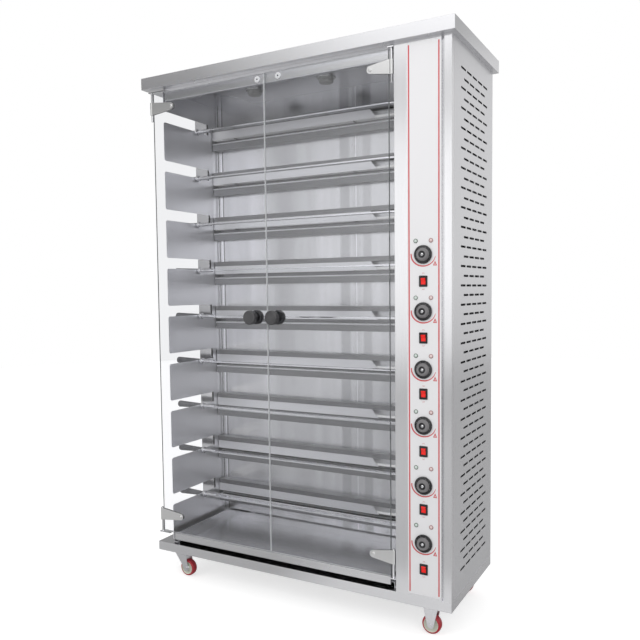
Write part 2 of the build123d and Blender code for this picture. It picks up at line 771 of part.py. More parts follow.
def caster_leg(y0, y1, swivel_x, axle_x, crown_half):
    """One fork leg, from the crown down to the round boss at the axle."""
    boss = 11.0
    points = [(swivel_x - crown_half, crown_z), (swivel_x + crown_half, crown_z),
              (axle_x + boss, wheel_radius), (axle_x - boss, wheel_radius)]
    return profile_y(points, y0, y1) + rod_y(y0, y1, axle_x, wheel_radius, boss)


def fork_legs(swivel_x, axle_x, y, crown_half):
    """Both legs, the axle with its heads, and the crown that joins the legs."""
    outer = leg_gap + leg_thickness
    legs = [caster_leg(y - outer, y - leg_gap, swivel_x, axle_x, crown_half),
            caster_leg(y + leg_gap, y + outer, swivel_x, axle_x, crown_half)]
    axle = rod_y(y - outer - 3, y + outer + 3, axle_x, wheel_radius, axle_radius)
    heads = [rod_y(y + dy, y + dy + 3, axle_x, wheel_radius, 6.5) for dy in (-outer - 3, outer)]
    return legs + [axle] + heads


def swivel_fork(y):
    """Fork under the raceway of a swivel caster; the axle trails behind the kingpin."""
    swivel_x = caster_inset_x
    axle_x = swivel_x + caster_trail
    crown_half = 24.0
    outer = leg_gap + leg_thickness
    crown = block(swivel_x - crown_half, swivel_x + crown_half, y - outer, y + outer, crown_z, crown_z + 2.5)
    race = rod_z(crown_z + 2.5, plate_top - plate_thickness - 0.5, swivel_x, y, 26)
    race = fillet(race.edges().filter_by(GeomType.CIRCLE).sort_by(Axis.Z)[0], 2)
    fork = fuse([crown, race] + fork_legs(swivel_x, axle_x, y, crown_half))
    return fork - rod_z(crown_z - 5, plate_top, swivel_x, y, kingpin_radius + running_clearance)


def swivel_plate(y):
    """Top plate of a swivel caster with its kingpin."""
    x = caster_inset_x
    plate = block(x - 38, x + 38, y - 30, y + 30, plate_top - plate_thickness, plate_top)
    plate = fillet(plate.edges().filter_by(Axis.Z), 6)
    kingpin = rod_z(crown_z - 4, plate_top - plate_thickness, x, y, kingpin_radius)
    head = rod_z(crown_z - 6, crown_z - 0.5, x, y, 9)
    return fuse([plate, kingpin, head])


def rigid_fork(y):
    """Rigid caster: the fork hangs straight from its top plate."""
    x = cabinet_width - caster_inset_x
    half = 24.0
    outer = leg_gap + leg_thickness
    plate = block(x - 38, x + 38, y - 30, y + 30, plate_top - plate_thickness, plate_top)
    plate = fillet(plate.edges().filter_by(Axis.Z), 6)
    legs = []
    for y0 in (y - outer, y + leg_gap):
        legs.append(block(x - half, x + half, y0, y0 + leg_thickness, crown_z, plate_top - plate_thickness))
    return fuse([plate] + legs + fork_legs(x, x, y, half))


def caster_wheel(x, y):
    """Wheel with a round tread, side recesses and a bored hub."""
    half = wheel_width / 2
    wheel = rod_y(y - half, y + half, x, wheel_radius, wheel_radius)
    wheel = fillet(wheel.edges().filter_by(GeomType.CIRCLE), 5)
    recess_depth = 3.0
    for y0 in (y - half - 1, y + half - recess_depth):
        ring = rod_y(y0, y0 + recess_depth + 1, x, wheel_radius, 23) - rod_y(y0, y0 + recess_depth + 1, x,
                                                                           wheel_radius, 9)
        wheel = wheel - ring
    hub = rod_y(y - leg_gap + 0.5, y + leg_gap - 0.5, x, wheel_radius, 9)
    bore = rod_y(y - 20, y + 20, x, wheel_radius, axle_radius + running_clearance)
    return wheel + hub - bore


def write_all():
    """Write every node of the rotisserie."""
    save("base_frame", base_frame())
    save("top_cover", top_cover())
    save("ceiling_sheet", ceiling_sheet())
    save("left_comb_wall", *left_comb_wall())
    save("left_casing", left_casing())
    save("inner_back_wall", inner_back_wall())
    save("inner_right_wall", inner_right_wall())
    save("header_rail", header_rail())
    save("rear_panel", rear_panel())
    save("right_side_panel", right_side_panel())
    save("cover_screws", *cover_screws())
    save("control_fascia", control_fascia())
    save("corner_post", corner_post())
    save("control_overlay", control_overlay())
    save("switch_bodies", *switch_bodies())
    save("thermostats", *thermostats())
    save("pilot_lamps", *pilot_lamps())
    save("reflectors", *reflectors())
    save("heater_tubes", *heater_tubes())
    save("chamber_lamps", *chamber_lamps())
    save("door_hardware", *door_hinges(), *door_magnets())
    save("drip_tray", drip_tray())
    save("tray_runners", *tray_runners())
    save("spit_bearings", *spit_bearings())
    save("motor_sprocket", motor_sprocket())
    save("gear_motor", *gear_motor())
    save("drive_chain", drive_chain())
    save("cable_gland", *cable_gland())
    for side, axis_x, edge, meeting, tip, knob_x in (
            ("left", left_axis_x, left_axis_x + edge_gap, meeting_x - meeting_gap / 2,
             left_axis_x + edge_gap + left_clamp_length, 462.0),
            ("right", right_axis_x, right_axis_x - edge_gap, meeting_x + meeting_gap / 2,
             right_axis_x - edge_gap - right_clamp_length, 552.0)):
        inward = 1 if side == "left" else -1
        screw_x = tip - inward * clamp_tip_radius
        save(f"{side}_door_glass", door_glass(min(edge, meeting), max(edge, meeting), knob_x, screw_x))
        clamps = [piece for z in (bottom_clamp_z, top_clamp_z) for piece in door_clamp(axis_x, edge, tip, z)]
        save(f"{side}_door_fittings", *clamps, *door_knobs(knob_x))
    for number, z in enumerate(spit_heights, start=1):
        save(f"spit_{number}", spit_blade(z), spit_handle(z), spit_socket(z))
    for number, z in enumerate(reversed(knob_heights), start=1):
        save(f"temperature_knob_{number}", temperature_knob(z))
    for number, z in enumerate(reversed(rocker_heights), start=1):
        save(f"rocker_{number}", rocker(z))
    front_y = caster_inset_y
    rear_y = cabinet_depth - caster_inset_y
    left_wheel_x = caster_inset_x + caster_trail
    right_wheel_x = cabinet_width - caster_inset_x
    save("caster_mounts", swivel_plate(front_y), swivel_plate(rear_y), rigid_fork(front_y), rigid_fork(rear_y))
    save("front_swivel_fork", swivel_fork(front_y))
    save("rear_swivel_fork", swivel_fork(rear_y))
    save("front_left_wheel", caster_wheel(left_wheel_x, front_y))
    save("rear_left_wheel", caster_wheel(left_wheel_x, rear_y))
    save("front_right_wheel", caster_wheel(right_wheel_x, front_y))
    save("rear_right_wheel", caster_wheel(right_wheel_x, rear_y))


write_all()
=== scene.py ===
import math
import bmesh
import bpy
from mathutils import Matrix, Vector


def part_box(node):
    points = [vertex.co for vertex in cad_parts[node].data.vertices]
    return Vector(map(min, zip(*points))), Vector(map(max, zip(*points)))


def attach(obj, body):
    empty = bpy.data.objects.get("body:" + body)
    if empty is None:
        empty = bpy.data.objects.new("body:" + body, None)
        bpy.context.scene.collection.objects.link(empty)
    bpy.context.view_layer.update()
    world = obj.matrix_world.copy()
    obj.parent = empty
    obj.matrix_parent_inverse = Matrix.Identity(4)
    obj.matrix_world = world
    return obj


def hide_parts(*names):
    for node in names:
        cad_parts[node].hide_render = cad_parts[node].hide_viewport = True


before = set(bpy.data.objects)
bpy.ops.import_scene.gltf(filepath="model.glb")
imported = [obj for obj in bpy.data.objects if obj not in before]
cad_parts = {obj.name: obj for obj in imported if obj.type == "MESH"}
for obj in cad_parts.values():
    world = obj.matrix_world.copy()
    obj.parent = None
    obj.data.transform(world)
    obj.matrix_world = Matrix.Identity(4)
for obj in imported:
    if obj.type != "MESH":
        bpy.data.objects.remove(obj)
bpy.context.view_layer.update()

scene = bpy.context.scene
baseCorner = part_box("base_frame")[0]   # front left corner of the base, where X and Y are zero below


def spot(x, y, z):   # millimetres from that corner, z from the floor, to metres in the frame
    return Vector((baseCorner.x + x / 1000, baseCorner.y + y / 1000, z / 1000))


def middle(node):
    low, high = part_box(node)
    return (low + high) / 2


# Camera at the photograph's place and angle
view = {"place": (1.2791, -2.24265, 1.1026), "yaw": 28.983, "pitch": -3.645, "roll": -0.64,
        "focalPixels": 694.64, "imageSize": 640, "opticalRow": 335.1, "sensor": 36.0}


def addCamera():
    yaw, pitch, roll = (math.radians(view[key]) for key in ("yaw", "pitch", "roll"))
    forward = Vector((-math.sin(yaw) * math.cos(pitch), math.cos(yaw) * math.cos(pitch), math.sin(pitch)))
    level = Vector((math.cos(yaw), math.sin(yaw), 0))
    upright = level.cross(forward)
    right = math.cos(roll) * level + math.sin(roll) * upright
    up = math.cos(roll) * upright - math.sin(roll) * level
    data = bpy.data.cameras.new("camera")
    data.sensor_width = view["sensor"]
    data.lens = view["focalPixels"] / view["imageSize"] * view["sensor"]
    data.shift_y = (view["opticalRow"] - view["imageSize"] / 2) / view["imageSize"]
    camera = bpy.data.objects.new("camera", data)
    turn = Matrix((right, up, -forward)).transposed()
    camera.matrix_world = Matrix.Translation(view["place"]) @ turn.to_4x4()
    scene.collection.objects.link(camera)
    scene.camera = camera


# Node tree helpers
def feed(tree, value, socket):
    if isinstance(value, bpy.types.NodeSocket):
        tree.links.new(value, socket)
    elif value is not None:
        socket.default_value = value


def put(tree, kind, inputs=None, **settings):
    node = tree.nodes.new(kind)
    for name, value in settings.items():
        setattr(node, name, value)
    for key, value in (inputs or {}).items():
        feed(tree, value, node.inputs[key])
    return node


def maths(tree, operation, first, second=None, clamp=False):
    inputs = {0: first} if second is None else {0: first, 1: second}
    return put(tree, "ShaderNodeMath", inputs, operation=operation, use_clamp=clamp).outputs[0]


def blendColours(tree, share, first, second):
    node = put(tree, "ShaderNodeMix", {0: share, 6: first, 7: second}, data_type="RGBA")
    return node.outputs[2]


def blendValues(tree, share, first, second):
    return put(tree, "ShaderNodeMix", {0: share, 2: first, 3: second}, data_type="FLOAT").outputs[0]


def between(tree, value, low, high, toLow=0.0, toHigh=1.0):
    return put(tree, "ShaderNodeMapRange", {0: value, 1: low, 2: high, 3: toLow, 4: toHigh}).outputs[0]


def newGroup(name, inputs, outputs):
    tree = bpy.data.node_groups.new(name, "ShaderNodeTree")
    for label, kind, value in inputs:
        socket = tree.interface.new_socket(label, in_out="INPUT", socket_type="NodeSocket" + kind)
        socket.default_value = value
    for label, kind in outputs:
        tree.interface.new_socket(label, in_out="OUTPUT", socket_type="NodeSocket" + kind)
    return tree, tree.nodes.new("NodeGroupInput").outputs, tree.nodes.new("NodeGroupOutput").inputs


def makeSheetGrain():   # brushed or rolled sheet: fine lines along one way, with slow clouds under them
    tree, given, made = newGroup(
        "sheetGrain",
        [("Light", "Color", (0.7, 0.7, 0.72, 1)), ("Dark", "Color", (0.5, 0.5, 0.52, 1)),
         ("Stretch", "Vector", (1.0, 1.0, 1.0)), ("Fineness", "Float", 60.0), ("Cloud Size", "Float", 2.0),
         ("Grain Share", "Float", 0.5), ("Smooth", "Float", 0.2), ("Rough", "Float", 0.35)],
        [("Color", "Color"), ("Roughness", "Float"), ("Height", "Float")])
    place = put(tree, "ShaderNodeTexCoord").outputs["Object"]
    drawn = put(tree, "ShaderNodeVectorMath", {0: place, 1: given["Stretch"]}, operation="MULTIPLY").outputs[0]
    lines = put(tree, "ShaderNodeTexNoise", {"Vector": drawn, "Scale": given["Fineness"], "Detail": 3.0,
                                             "Roughness": 0.6}).outputs[0]
    clouds = put(tree, "ShaderNodeTexNoise", {"Vector": place, "Scale": given["Cloud Size"],
                                              "Detail": 2.0}).outputs[0]
    share = between(tree, blendValues(tree, given["Grain Share"], clouds, lines), 0.3, 0.7)
    feed(tree, blendColours(tree, share, given["Dark"], given["Light"]), made["Color"])
    feed(tree, blendValues(tree, clouds, given["Smooth"], given["Rough"]), made["Roughness"])
    feed(tree, lines, made["Height"])
    return tree


def makeSoftEdges():   # the small radius of folded and deburred edges
    tree, given, made = newGroup("softEdges", [("Radius", "Float", 0.001)], [("Normal", "Vector")])
    node = put(tree, "ShaderNodeBevel", {"Radius": given["Radius"]}, samples=4)
    feed(tree, node.outputs[0], made["Normal"])
    return tree


def makeMould():   # moulded plastic: faint orange peel and dulled patches
    tree, given, made = newGroup(
        "mouldedSurface",
        [("Color", "Color", (0.1, 0.1, 0.1, 1)), ("Lift", "Float", 0.15), ("Peel Size", "Float", 900.0),
         ("Smooth", "Float", 0.25), ("Rough", "Float", 0.45)],
        [("Color", "Color"), ("Roughness", "Float"), ("Height", "Float")])
    place = put(tree, "ShaderNodeTexCoord").outputs["Object"]
    peel = put(tree, "ShaderNodeTexNoise", {"Vector": place, "Scale": given["Peel Size"],
                                            "Detail": 1.0}).outputs[0]
    patches = put(tree, "ShaderNodeTexNoise", {"Vector": place, "Scale": 25.0, "Detail": 3.0}).outputs[0]
    share = maths(tree, "MULTIPLY", between(tree, patches, 0.35, 0.65), given["Lift"])
    feed(tree, blendColours(tree, share, given["Color"], (1, 1, 1, 1)), made["Color"])
    feed(tree, blendValues(tree, patches, given["Smooth"], given["Rough"]), made["Roughness"])
    feed(tree, peel, made["Height"])
    return tree


def makeAlong():   # 0 below From and 1 past To along one axis of the cabinet
    tree, given, made = newGroup(
        "alongAxis", [("Axis", "Vector", (1.0, 0.0, 0.0)), ("From", "Float", 0.0), ("To", "Float", 0.001)],
        [("Mask", "Float")])
    place = put(tree, "ShaderNodeTexCoord").outputs["Object"]
    run = put(tree, "ShaderNodeVectorMath", {0: place, 1: given["Axis"]}, operation="DOT_PRODUCT")
    feed(tree, between(tree, run.outputs["Value"], given["From"], given["To"]), made["Mask"])
    return tree


sheetGrain = makeSheetGrain()
softEdges = makeSoftEdges()
mouldedSurface = makeMould()
alongAxis = makeAlong()


def useGroup(tree, group, **inputs):
    node = tree.nodes.new("ShaderNodeGroup")
    node.node_tree = group
    for name, value in inputs.items():
        feed(tree, value, node.inputs[name])
    return node.outputs


def newMaterial(name):
    material = bpy.data.materials.new(name)
    material.use_nodes = True
    tree = material.node_tree
    return material, tree, tree.nodes["Principled BSDF"].inputs


def grey(level, tint=0.0):
    return (level, level, level * (1 + tint), 1)


def addNormal(tree, shader, height, strength, distance, radius):
    edges = useGroup(tree, softEdges, Radius=radius)["Normal"] if radius else None
    bump = put(tree, "ShaderNodeBump", {"Height": height, "Strength": strength, "Distance": distance})
    feed(tree, edges, bump.inputs["Normal"])
    feed(tree, bump.outputs[0], shader["Normal"])


acrossX = (1.5, 60.0, 60.0)   # lines that run along X
acrossZ = (60.0, 60.0, 1.5)   # lines that run along Z
steels = {
    "outerUpright": dict(light=0.78, dark=0.71, stretch=acrossZ, smooth=0.14, rough=0.23, radius=0.0015),
    "outerLong": dict(light=0.78, dark=0.71, stretch=acrossX, smooth=0.14, rough=0.23, radius=0.0015),
    "ventedSheet": dict(light=0.76, dark=0.68, stretch=acrossZ, smooth=0.24, rough=0.34, radius=0.0006),
    "chamberSheet": dict(light=0.68, dark=0.60, stretch=acrossZ, smooth=0.20, rough=0.32, radius=0.0),
    "combSheet": dict(light=0.94, dark=0.87, stretch=acrossZ, smooth=0.26, rough=0.38, radius=0.0),
    "ceilingSheet": dict(light=0.80, dark=0.71, stretch=acrossX, smooth=0.22, rough=0.34, radius=0.0),
    "traySheet": dict(light=0.72, dark=0.62, stretch=acrossX, smooth=0.20, rough=0.32, radius=0.001),
    "brightChrome": dict(light=0.86, dark=0.80, stretch=(8, 8, 8), smooth=0.06, rough=0.16, radius=0.0006),
    "zincPlate": dict(light=0.80, dark=0.66, stretch=(14, 14, 14), smooth=0.28, rough=0.44, radius=0.0008),
    "brightPlate": dict(light=0.80, dark=0.74, stretch=(14, 14, 14), smooth=0.12, rough=0.24, radius=0.0008),
    "chainSteel": dict(light=0.42, dark=0.28, stretch=(20, 20, 20), smooth=0.30, rough=0.45, radius=0.0),
    "bushBronze": dict(light=0.62, dark=0.50, stretch=(20, 20, 20), smooth=0.25, rough=0.40, radius=0.0)}
steelTint = 0.025
grainFineness = 9.0
# strength of each bump, and its height in metres
bumps = {"sheet": (0.08, 0.0004), "mould": (0.06, 0.0003), "faint": (0.05, 0.0003), "seam": (0.2, 0.0006)}


def makeSteel(name, light, dark, stretch, smooth, rough, radius):
    material, tree, shader = newMaterial(name)
    made = useGroup(tree, sheetGrain, Light=grey(light, steelTint), Dark=grey(dark, steelTint), Stretch=stretch,
                    Fineness=grainFineness, Smooth=smooth, Rough=rough)
    feed(tree, made["Color"], shader["Base Color"])
    feed(tree, made["Roughness"], shader["Roughness"])
    shader["Metallic"].default_value = 1.0
    addNormal(tree, shader, made["Height"], *bumps["sheet"], radius)
    return material


materials = {name: makeSteel(name, **facts) for name, facts in steels.items()}


# Plastics, paint and rubber
plastics = {
    "overlayFilm": dict(color=(0.80, 0.795, 0.81, 1), lift=0.015, smooth=0.26, rough=0.32),
    "blackPlastic": dict(color=(0.018, 0.018, 0.019, 1), lift=0.02, smooth=0.28, rough=0.42),
    "knobBlack": dict(color=(0.042, 0.042, 0.045, 1), lift=0.03, smooth=0.16, rough=0.26),
    "dialBlack": dict(color=(0.022, 0.022, 0.024, 1), lift=0.03, smooth=0.22, rough=0.36),
    "gripGrey": dict(color=(0.17, 0.165, 0.17, 1), lift=0.04, smooth=0.26, rough=0.38),
    "printRed": dict(color=(0.60, 0.075, 0.085, 1), lift=0.03, smooth=0.26, rough=0.36),
    "printWhite": dict(color=(0.70, 0.70, 0.70, 1), lift=0.04, smooth=0.3, rough=0.4),
    "printGrey": dict(color=(0.22, 0.22, 0.22, 1), lift=0.04, smooth=0.3, rough=0.4),
    "lampGreenRim": dict(color=(0.10, 0.145, 0.11, 1), lift=0.10, smooth=0.12, rough=0.20),
    "lampGreenDome": dict(color=(0.60, 0.69, 0.64, 1), lift=0.10, smooth=0.08, rough=0.16),
    "lampRoseRim": dict(color=(0.32, 0.15, 0.14, 1), lift=0.10, smooth=0.12, rough=0.20),
    "lampRoseDome": dict(color=(0.74, 0.58, 0.57, 1), lift=0.10, smooth=0.08, rough=0.16),
    "treadRed": dict(color=(0.42, 0.008, 0.022, 1), lift=0.03, smooth=0.24, rough=0.40),
    "hubCream": dict(color=(0.60, 0.62, 0.52, 1), lift=0.05, smooth=0.30, rough=0.45),
    "motorPaint": dict(color=(0.06, 0.07, 0.085, 1), lift=0.05, smooth=0.30, rough=0.45),
    "ringWhite": dict(color=(0.93, 0.93, 0.94, 1), lift=0.02, smooth=0.20, rough=0.3)}


dullBlack = 0.2   # specular level of the black plastics
blackPlastics = ("blackPlastic", "knobBlack", "dialBlack")


def makePlastic(name, color, lift, smooth, rough, radius=0.0005):
    material, tree, shader = newMaterial(name)
    if name in blackPlastics:
        shader["Specular IOR Level"].default_value = dullBlack
    made = useGroup(tree, mouldedSurface, Color=color, Lift=lift, Smooth=smooth, Rough=rough)
    feed(tree, made["Color"], shader["Base Color"])
    feed(tree, made["Roughness"], shader["Roughness"])
    addNormal(tree, shader, made["Height"], *bumps["mould"], radius)
    return material


for name, facts in plastics.items():
    materials[name] = makePlastic(name, **facts)
ringGlow = 0.45   # a painted glow that keeps the magnets' pale discs clear in the shade of the cover
ring = materials["ringWhite"].node_tree.nodes["Principled BSDF"].inputs
ring["Emission Color"].default_value = (1, 1, 1, 1)
ring["Emission Strength"].default_value = ringGlow


# Two finishes on one CAD piece, parted along an axis of the cabinet
def makeParted(name, first, second, axis, start, end, darkerStretch=None):
    material, tree, shader = newMaterial(name)
    mask = useGroup(tree, alongAxis, Axis=axis, From=start, To=end)["Mask"]
    grain = useGroup(tree, sheetGrain, Light=second["light"], Dark=second["dark"], Stretch=second["stretch"],
                     Fineness=grainFineness, Smooth=second["smooth"], Rough=second["rough"])
    mould = useGroup(tree, mouldedSurface, Color=first["color"], Lift=first["lift"], Smooth=first["smooth"],
                     Rough=first["rough"])
    metalColour = grain["Color"]
    if darkerStretch:   # a stretch of the metal is darker
        low, high, fade = spot(darkerStretch["start"], 0, 0).x, spot(darkerStretch["end"], 0, 0).x, darkerStretch["fade"]
        on = useGroup(tree, alongAxis, Axis=axis, From=low, To=low + fade)["Mask"]
        off = useGroup(tree, alongAxis, Axis=axis, From=high, To=high - fade)["Mask"]
        metalColour = blendColours(tree, maths(tree, "MULTIPLY", on, off), metalColour, darkerStretch["shade"])
    feed(tree, blendColours(tree, mask, mould["Color"], metalColour), shader["Base Color"])
    feed(tree, blendValues(tree, mask, mould["Roughness"], grain["Roughness"]), shader["Roughness"])
    if second["metal"]:
        feed(tree, mask, shader["Metallic"])
    addNormal(tree, shader, grain["Height"], *bumps["faint"], 0.0006)
    return material


spitLook = {"light": grey(0.86, 0.03), "dark": grey(0.74, 0.03), "stretch": acrossX, "smooth": 0.10,
            "rough": 0.24, "metal": True}
handleLook = {"color": (0.085, 0.085, 0.095, 1), "lift": 0.05, "smooth": 0.30, "rough": 0.42}
bladeLook = {"start": 120, "end": 925, "fade": 0.02, "shade": (0.80, 0.80, 0.83, 1)}
handleEnd = spot(54, 0, 0).x
materials["spitSteel"] = makeParted("spitSteel", handleLook, spitLook, (1, 0, 0), handleEnd, handleEnd + 0.0004,
                                    bladeLook)


def makeTrough():   # lips darkened with painted shade, with a polished plate and a bead painted bright as a highlight between them, on every tier
    material, tree, shader = newMaterial("troughSheet")
    place = put(tree, "ShaderNodeTexCoord").outputs["Object"]
    height = put(tree, "ShaderNodeSeparateXYZ", {0: place}).outputs[2]
    rise = maths(tree, "SUBTRACT", height, spot(0, 0, trough["firstTier"] - trough["below"]).z)
    step = maths(tree, "FLOORED_MODULO", rise, trough["pitch"] / 1000)
    plateAndBead = None
    for low, high in trough["bands"]:
        low, high = (low + trough["below"]) / 1000, (high + trough["below"]) / 1000
        over = between(tree, step, low, low + trough["edge"])
        under = between(tree, step, high, high + trough["edge"], 1.0, 0.0)
        band = maths(tree, "MULTIPLY", over, under)
        plateAndBead = band if plateAndBead is None else maths(tree, "ADD", plateAndBead, band, clamp=True)
    # the lips' dark grey is painted shade
    shadedLips = useGroup(tree, sheetGrain, Light=grey(trough["lip"], steelTint),
                    Dark=grey(trough["lip"] * trough["lipSwing"], steelTint), Stretch=acrossX,
                    Fineness=trough["fineness"], Smooth=0.24, Rough=0.40)
    # the plate's grey also paints the bead, as a highlight
    plate = grey(trough["plate"], steelTint)
    feed(tree, blendColours(tree, plateAndBead, shadedLips["Color"], plate), shader["Base Color"])
    feed(tree, shadedLips["Roughness"], shader["Roughness"])
    feed(tree, between(tree, plateAndBead, 0.0, 1.0, 1.0, trough["sheen"]), shader["Metallic"])
    addNormal(tree, shader, shadedLips["Height"], *bumps["faint"], 0.0)
    return material


# lip: grey of the lips, painted shade; plate: grey of the plate and of the bead, whose brightness is a painted
# highlight
trough = {"firstTier": 300.5, "pitch": 182.69, "below": 100.5, "bands": ((-37.2, -5.2), (-57.0, -51.2)),
          "fineness": 5.0, "lip": 0.30, "lipSwing": 0.85, "plate": 0.93, "sheen": 0.45, "edge": 0.0004}
materials["troughSheet"] = makeTrough()


def makeBackWall():   # sheets that join at one upright seam painted bright as a highlight, with broad soft bands of painted reflection down them, painted shade and highlight lines in the corner by the comb wall, and soft bands of painted shade beside the seam
    material, tree, shader = newMaterial("backWallSheet")
    fine = useGroup(tree, sheetGrain, Light=grey(backWall["light"], steelTint),
                    Dark=grey(backWall["dark"], steelTint), Stretch=acrossZ, Fineness=grainFineness,
                    Smooth=0.18, Rough=0.30)
    broad = useGroup(tree, sheetGrain, Light=grey(backWall["light"] + backWall["swing"], steelTint),
                     Dark=grey(backWall["dark"] - backWall["swing"], steelTint), Stretch=(1.0, 1.0, 0.05),
                     Fineness=backWall["bands"], **{"Grain Share": 1.0})
    seam = spot(backWall["seamX"], 0, 0).x
    before = useGroup(tree, alongAxis, Axis=(1, 0, 0), From=seam - 0.0015, To=seam - 0.0005)["Mask"]
    after = useGroup(tree, alongAxis, Axis=(1, 0, 0), From=seam + 0.0025, To=seam + 0.0015)["Mask"]
    line = maths(tree, "MULTIPLY", before, after)
    sheet = blendColours(tree, 0.75, fine["Color"], broad["Color"])
    # the listed lines: painted shade and a painted highlight along the corner by the comb wall, and painted shade
    # in two soft bands beside the seam
    for x, half, fade, level in backWall["lines"]:
        centre, half, fade = spot(x, 0, 0).x, half / 1000, fade / 1000
        on = useGroup(tree, alongAxis, Axis=(1, 0, 0), From=centre - half - fade, To=centre - half)["Mask"]
        off = useGroup(tree, alongAxis, Axis=(1, 0, 0), From=centre + half + fade, To=centre + half)["Mask"]
        sheet = blendColours(tree, maths(tree, "MULTIPLY", on, off), sheet, grey(level, steelTint))
    # the bright seam line is a painted highlight
    feed(tree, blendColours(tree, line, sheet, grey(backWall["seam"], steelTint)), shader["Base Color"])
    feed(tree, fine["Roughness"], shader["Roughness"])
    shader["Metallic"].default_value = 1.0
    addNormal(tree, shader, line, *bumps["seam"], 0.0)
    return material


# lines: centre X, half width and fade in millimetres, then grey; painted shade and highlight by the comb wall,
# painted shade beside the seam
backWall = {"light": 0.74, "dark": 0.66, "swing": 0.08, "bands": 11.0, "seamX": 700.0, "seam": 0.92,
            "lines": ((66, 2.4, 0.5, 0.22), (80, 2.4, 0.5, 0.98), (88, 2.4, 0.5, 0.30), (654, 15, 10, 0.55),
                      (746, 12, 10, 0.55))}
materials["backWallSheet"] = makeBackWall()


def makeHeader():   # painted shade along its lower half, with a bright turned edge under that
    material, tree, shader = newMaterial("headerSheet")
    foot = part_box("header_rail")[0].z
    facts = steels["outerLong"]
    sheet = useGroup(tree, sheetGrain, Light=grey(facts["light"], steelTint), Dark=grey(facts["dark"], steelTint),
                     Stretch=acrossX, Fineness=grainFineness, Smooth=facts["smooth"], Rough=facts["rough"])
    edge, dark, sharp, soft = (headerLook[key] / 1000 for key in ("edge", "dark", "sharp", "soft"))
    over = useGroup(tree, alongAxis, Axis=(0, 0, 1), From=foot + edge, To=foot + edge + sharp)["Mask"]
    under = useGroup(tree, alongAxis, Axis=(0, 0, 1), From=foot + dark + soft, To=foot + dark)["Mask"]
    shade = blendColours(tree, maths(tree, "MULTIPLY", over, under), sheet["Color"], grey(headerLook["shade"]))
    feed(tree, shade, shader["Base Color"])
    feed(tree, sheet["Roughness"], shader["Roughness"])
    shader["Metallic"].default_value = 1.0
    addNormal(tree, shader, sheet["Height"], *bumps["sheet"], 0.0015)
    return material


headerLook = {"edge": 2.5, "dark": 17.0, "sharp": 0.5, "soft": 6.0, "shade": 0.70}
materials["headerSheet"] = makeHeader()


def makeFittings():   # black knobs between plated clamps, on the same door
    material, tree, shader = newMaterial("doorFittings")
    knobs = spot(0, 0, fittings["knobHeight"]).z
    reach = fittings["knobReach"] / 1000
    over = useGroup(tree, alongAxis, Axis=(0, 0, 1), From=knobs + reach, To=knobs + reach + 0.001)["Mask"]
    under = useGroup(tree, alongAxis, Axis=(0, 0, 1), From=knobs - reach, To=knobs - reach - 0.001)["Mask"]
    plated = maths(tree, "ADD", over, under, clamp=True)
    plate, knob = steels["brightPlate"], plastics["knobBlack"]
    grain = useGroup(tree, sheetGrain, Light=grey(plate["light"]), Dark=grey(plate["dark"]),
                     Stretch=plate["stretch"], Fineness=grainFineness, Smooth=plate["smooth"],
                     Rough=plate["rough"])
    mould = useGroup(tree, mouldedSurface, Color=knob["color"], Lift=knob["lift"], Smooth=knob["smooth"],
                     Rough=knob["rough"])
    feed(tree, blendColours(tree, plated, mould["Color"], grain["Color"]), shader["Base Color"])
    feed(tree, blendValues(tree, plated, mould["Roughness"], grain["Roughness"]), shader["Roughness"])
    feed(tree, plated, shader["Metallic"])
    addNormal(tree, shader, grain["Height"], *bumps["faint"], 0.0008)
    return material


fittings = {"knobHeight": 1012.0, "knobReach": 60.0}
materials["doorFittings"] = makeFittings()


frostLook = {"color": (0.74, 0.74, 0.72, 1), "lift": 0.1, "smooth": 0.10, "rough": 0.22}
ringLook = {"light": grey(0.84), "dark": grey(0.76), "stretch": (14, 14, 14), "smooth": 0.08, "rough": 0.2,
            "metal": True}
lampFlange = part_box("chamber_lamps")[1].z - 0.005
materials["ovenLamp"] = makeParted("ovenLamp", frostLook, ringLook, (0, 0, 1), lampFlange, lampFlange + 0.0002)


# Lamps and glass
def makeGlass(name, color, smooth, rough):
    material, tree, shader = newMaterial(name)
    place = put(tree, "ShaderNodeTexCoord").outputs["Object"]
    smear = put(tree, "ShaderNodeTexNoise", {"Vector": place, "Scale": 4.0, "Detail": 4.0}).outputs[0]
    feed(tree, between(tree, smear, 0.3, 0.7, smooth, rough), shader["Roughness"])
    tone = blendColours(tree, between(tree, smear, 0.2, 0.8), color, tuple(c * 0.97 for c in color[:3]) + (1,))
    feed(tree, tone, shader["Base Color"])
    shader["Transmission Weight"].default_value = 1.0
    shader["IOR"].default_value = 1.45
    # lamps reach the chamber through the pane
    clear = put(tree, "ShaderNodeBsdfTransparent", {"Color": color})
    path = put(tree, "ShaderNodeLightPath")
    mix = put(tree, "ShaderNodeMixShader", {0: path.outputs["Is Shadow Ray"],
                                            1: tree.nodes["Principled BSDF"].outputs[0], 2: clear.outputs[0]})
    feed(tree, mix.outputs[0], tree.nodes["Material Output"].inputs["Surface"])
    return material


materials["doorGlass"] = makeGlass("doorGlass", (0.93, 0.935, 0.95, 1), 0.0, 0.02)
materials["paneEdge"] = makePlastic("paneEdge", (0.86, 0.875, 0.89, 1), 0.1, 0.2, 0.4, 0.0)
materials["paneEdgeDark"] = makePlastic("paneEdgeDark", (0.12, 0.13, 0.135, 1), 0.1, 0.2, 0.4, 0.0)


